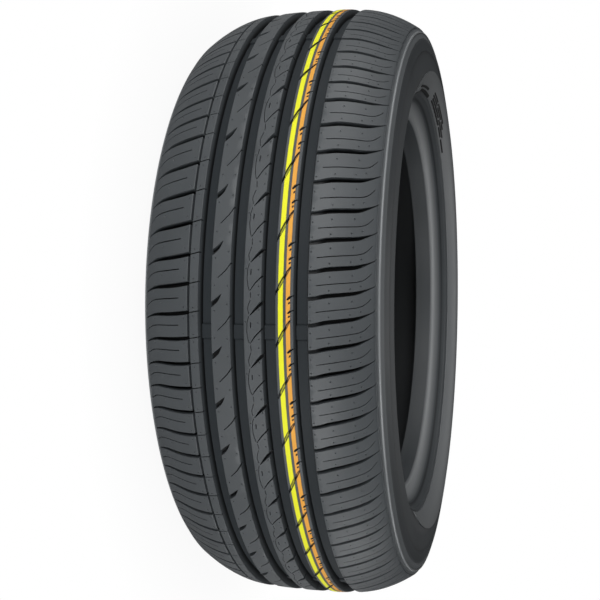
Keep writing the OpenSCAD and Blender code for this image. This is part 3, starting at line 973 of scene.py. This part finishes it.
def paint_material(name, middle, edge, cut_shade):
    """Rubber marking paint, laid by a wheel: matt and bright, thinner and darker at its edges.

    Along the edges of its cuts it takes the cut walls' painted shade."""
    material, tree = blank_material(name)
    where = add(tree, "ShaderNodeTexCoord").outputs["Object"]
    share = add(tree, "ShaderNodeAttribute", attribute_name="across").outputs["Fac"]
    middle_off = add(tree, "ShaderNodeMath", {0: share, 1: 0.5}, operation="SUBTRACT")
    off = add(tree, "ShaderNodeMath", {0: middle_off.outputs[0]}, operation="ABSOLUTE")
    streak_size = 5 * MM
    streaks = add(tree, "ShaderNodeTexNoise", {"Vector": where, "Scale": 1 / streak_size, "Detail": 3.0})
    ragged = add(tree, "ShaderNodeMath", {
        0: streaks.outputs["Fac"], 1: 0.12, 2: off.outputs[0]
    }, operation="MULTIPLY_ADD")
    side_rim = add(tree, "ShaderNodeMapRange", {
        "Value": ragged.outputs[0], "From Min": 0.47, "From Max": 0.6
    })
    # Painted shade along the edges of the cuts: the paint turns towards the cut walls' shade colour
    edge_shade_mask = add(tree, "ShaderNodeAttribute", attribute_name="rim").outputs["Fac"]
    edge_shade = add(tree, "ShaderNodeMapRange", {"Value": edge_shade_mask, "From Max": 0.6, "To Max": 0.92})
    thinned = add(tree, "ShaderNodeMix", {
        0: side_rim.outputs[0], 6: middle[:], 7: edge[:]
    }, data_type="RGBA")
    edge_shaded = add(tree, "ShaderNodeMix", {
        0: edge_shade.outputs[0], 6: thinned.outputs[2], 7: cut_shade[:]
    }, data_type="RGBA")
    bump = add(tree, "ShaderNodeBump", {
        "Strength": 0.1, "Distance": 0.1 * MM, "Height": streaks.outputs["Fac"]
    })
    shader = add(tree, "ShaderNodeBsdfPrincipled", {
        "Base Color": edge_shaded.outputs[2], "Roughness": 0.6, "Normal": bump.outputs[0],
    })
    add(tree, "ShaderNodeOutputMaterial", {"Surface": shader.outputs[0]})
    return material


# Sizes and colours that a user would change

def colour_property(label, text, code):
    return FloatVectorProperty(
        name=label, description=text, default=linear(code), size=4, subtype="COLOR", min=0, max=1)


class TyreFinish(PropertyGroup):
    rubber: colour_property("Rubber", "Colour of the rubber where it is palest", "#44484b")
    rubber_deep: colour_property("Deep rubber", "Colour of the rubber where it is darkest", "#393d40")
    # Painted shade for groove floors, near-black painted shade for the walls of cuts, and a painted
    # highlight for rings, ridges, bead faces and the plate
    groove: colour_property("Grooves", "Colour of the rubber on the floors of the grooves", "#292d30")
    walls: colour_property("Walls", "Colour of the rubber on the walls of cuts and grooves", "#101112")
    painted_highlight: colour_property("Polished", "Colour of the rubber where it was rubbed smooth", "#9ea1a3")
    yellow: colour_property("Yellow", "Colour of the yellow line", "#dfdf00")
    yellow_edge: colour_property("Yellow edge", "Colour of the yellow line where it is thin", "#55551a")
    orange: colour_property("Orange", "Colour of the orange line", "#dc9a30")
    orange_edge: colour_property("Orange edge", "Colour of the orange line where it is thin", "#593c24")
    paint_t: FloatProperty(
        name="Paint thickness", description="Thickness of the paint lines", default=0.25 * MM,
        min=0.1 * MM, max=0.5 * MM, unit="LENGTH", precision=5)


class StageSettings(PropertyGroup):
    backdrop: colour_property("Backdrop", "Colour of the floor and of what lies behind", "#ffffff")
    lamp_power: FloatProperty(
        name="Lamp power", description="Power that each lamp has its own share of", default=34,
        min=1, max=500, unit="POWER")


class TYRE_OT_body(Operator):
    """Builds the tyre from one double pitch of its tread and carcass"""
    bl_idname = "tyre.body"
    bl_label = "Build Tyre"

    def execute(self, context):
        rubber = rubber_material(context.scene.tyre_finish)
        ring = ring_mesh(tyre_tile(), rubber)
        angles = [radians(WEAR_START + 360 / WEAR_PLACES * i) for i in range(WEAR_PLACES)]
        marks = ring_mesh(wear_bar_tile(), rubber, [1] * WEAR_PLACES, angles)
        body = bmesh.new()
        body.from_mesh(ring)
        body.from_mesh(marks)
        for way in (-1, 1):
            for patch in PATCHES:
                sidewall_patch(body, way, *patch)
        body.to_mesh(ring)
        body.free()
        hand_over("tyre_body", ring, rubber, "tyre")
        return {"FINISHED"}


class TYRE_OT_paint(Operator):
    """Lays the two paint lines on the fourth rib"""
    bl_idname = "tyre.paint"
    bl_label = "Paint Lines"

    def execute(self, context):
        finish = context.scene.tyre_finish
        for line, left, width, middle, edge in (
            ("yellow", YELLOW_Z, YELLOW_W, finish.yellow, finish.yellow_edge),
            ("orange", ORANGE_Z, ORANGE_W, finish.orange, finish.orange_edge),
        ):
            # The paint takes the cut walls' painted shade along its cuts
            paint = paint_material(line + "_marking_paint", middle, edge, finish.walls)
            tile = paint_tile(left, width, finish.paint_t / MM)
            hand_over(line + "_paint", ring_mesh(tile, paint), paint, line + "_line")
        return {"FINISHED"}


class TYRE_OT_stage(Operator):
    """Sets the floor, the lamps, the world and the camera"""
    bl_idname = "tyre.stage"
    bl_label = "Set Stage"

    # Camera, from a fit to the view wanted: distance, height angle, aim, roll and focal length
    DISTANCE = 1146.07 * MM
    ELEVATION = radians(12.9469)
    AIM = Vector((-0.30, 0, -40.36)) * MM
    ROLL = radians(0.53)
    FOCAL_PX, IMAGE_PX, SENSOR_MM = 1011.8, 600, 36
    CLIP_END = 30

    # Soft square lamps, aimed at the tyre's centre: place and side in metres, and share of the power
    LAMPS = [
        ("key", (-1.1, -1.9, 0.2), 1.0, 0.62),
        ("fill", (1.5, -1.8, 0.1), 0.9, 0.85),
        ("top", (-2.0, -0.5, 0.4), 0.8, 0.3),
        ("bounce", (1.8, 0.1, 0.32), 0.6, 0.18),
        ("sheen", (0.1, 1.2, 1.5), 0.8, 0.1),
    ]

    # Half of the floor's side, and the distances over which the shadow on it ends, in metres
    FLOOR_HALF, SHADOW_IN, SHADOW_OUT = 12, 0.3, 0.42
    # Where the dome of soft light is palest, and its strength there and on the far side
    DOME_MIDDLE, DOME_PALE, DOME_DARK = (-0.45, -0.8, -0.4), 0.8, 0.04

    def camera(self, scene):
        spot = Vector((0, -self.DISTANCE * cos(self.ELEVATION), self.DISTANCE * sin(self.ELEVATION)))
        ahead = (self.AIM - spot).normalized()
        right = ahead.cross(Vector((-1, 0, 0))).normalized()
        up = right.cross(ahead)
        turned_right = right * cos(self.ROLL) + up * sin(self.ROLL)
        turned_up = up * cos(self.ROLL) - right * sin(self.ROLL)
        data = bpy.data.cameras.new("camera")
        data.lens = self.FOCAL_PX / self.IMAGE_PX * self.SENSOR_MM
        data.sensor_width = self.SENSOR_MM
        data.clip_end = self.CLIP_END
        made = bpy.data.objects.new("camera", data)
        axes = Matrix((turned_right, turned_up, -ahead)).transposed()
        made.matrix_world = Matrix.Translation(spot) @ axes.to_4x4()
        scene.collection.objects.link(made)
        scene.camera = made

    def lamp(self, scene, name, spot, size, power):
        data = bpy.data.lights.new(name, "AREA")
        data.size = size
        data.energy = power
        made = bpy.data.objects.new(name, data)
        aimed = (-Vector(spot)).to_track_quat("-Z", "Y").to_matrix().to_4x4()
        made.matrix_world = Matrix.Translation(spot) @ aimed
        scene.collection.objects.link(made)

    def floor(self, scene, settings):
        """A pale floor that looks white to the camera and keeps the tyre's shadow."""
        material, tree = blank_material("matt_white_paper")
        path = add(tree, "ShaderNodeLightPath")
        paper = add(tree, "ShaderNodeBsdfDiffuse", {"Color": (0.8, 0.8, 0.8, 1)})
        glow = add(tree, "ShaderNodeEmission", {"Color": settings.backdrop[:], "Strength": 1.0})
        where = add(tree, "ShaderNodeTexCoord").outputs["Object"]
        far = add(tree, "ShaderNodeVectorMath", {0: where}, operation="LENGTH").outputs["Value"]
        share = add(tree, "ShaderNodeMapRange", {
            "Value": far, "From Min": self.SHADOW_IN, "From Max": self.SHADOW_OUT, "To Min": 0.93
        })
        seen = add(tree, "ShaderNodeMath", {
            0: path.outputs["Is Camera Ray"], 1: share.outputs[0]
        }, operation="MULTIPLY")
        both = add(tree, "ShaderNodeMixShader", {
            0: seen.outputs[0], 1: paper.outputs[0], 2: glow.outputs[0]
        })
        add(tree, "ShaderNodeOutputMaterial", {"Surface": both.outputs[0]})
        mesh = bpy.data.meshes.new("floor")
        half, low = self.FLOOR_HALF, TYRE_LOW[2]
        corners = ((-half, -half), (half, -half), (half, half), (-half, half))
        mesh.from_pydata([(x, y, low) for x, y in corners], [], [(0, 1, 2, 3)])
        mesh.materials.append(material)
        made = bpy.data.objects.new("floor", mesh)
        scene.collection.objects.link(made)

    def world(self, scene, settings):
        """A dome of soft light that is palest beside the camera, and white to the camera itself."""
        world = bpy.data.worlds.new("studio")
        world.use_nodes = True
        tree = world.node_tree
        tree.nodes.clear()
        path = add(tree, "ShaderNodeLightPath")
        ahead = add(tree, "ShaderNodeTexCoord").outputs["Generated"]
        front = add(tree, "ShaderNodeVectorMath", {
            0: ahead, 1: self.DOME_MIDDLE
        }, operation="DOT_PRODUCT")
        dome = add(tree, "ShaderNodeMapRange", {
            "Value": front.outputs["Value"], "From Min": -0.5, "From Max": 0.9,
            "To Min": self.DOME_DARK, "To Max": self.DOME_PALE,
        })
        level = add(tree, "ShaderNodeMath", {
            0: path.outputs["Is Camera Ray"], 1: dome.outputs[0]
        }, operation="MAXIMUM")
        sky = add(tree, "ShaderNodeBackground", {
            "Color": settings.backdrop[:], "Strength": level.outputs[0]
        })
        add(tree, "ShaderNodeOutputWorld", {"Surface": sky.outputs[0]})
        scene.world = world

    def execute(self, context):
        scene = context.scene
        settings = scene.tyre_stage
        scene.view_settings.view_transform = "Standard"
        self.floor(scene, settings)
        self.world(scene, settings)
        for name, spot, size, share in self.LAMPS:
            self.lamp(scene, name, spot, size, settings.lamp_power * share)
        self.camera(scene)
        return {"FINISHED"}


class TYRE_PT_panel(Panel):
    """Lists what builds the tyre, with its finish and stage settings"""
    bl_label = "Car Tyre"
    bl_space_type = "VIEW_3D"
    bl_region_type = "UI"
    bl_category = "Tyre"

    def draw(self, context):
        for group in (context.scene.tyre_finish, context.scene.tyre_stage):
            for name in group.bl_rna.properties.keys():
                if name not in ("rna_type", "name"):
                    self.layout.prop(group, name)
        for operator in OPERATORS:
            self.layout.operator(operator.bl_idname)


OPERATORS = [TYRE_OT_body, TYRE_OT_paint, TYRE_OT_stage]
CLASSES = [TyreFinish, StageSettings, *OPERATORS, TYRE_PT_panel]


def register():
    for cls in CLASSES:
        bpy.utils.register_class(cls)
    bpy.types.Scene.tyre_finish = PointerProperty(type=TyreFinish)
    bpy.types.Scene.tyre_stage = PointerProperty(type=StageSettings)


def unregister():
    del bpy.types.Scene.tyre_finish
    del bpy.types.Scene.tyre_stage
    for cls in reversed(CLASSES):
        bpy.utils.unregister_class(cls)


def main():
    register()
    bpy.ops.tyre.body()
    bpy.ops.tyre.paint()
    bpy.ops.tyre.stage()


if __name__ == "__main__":
    main()
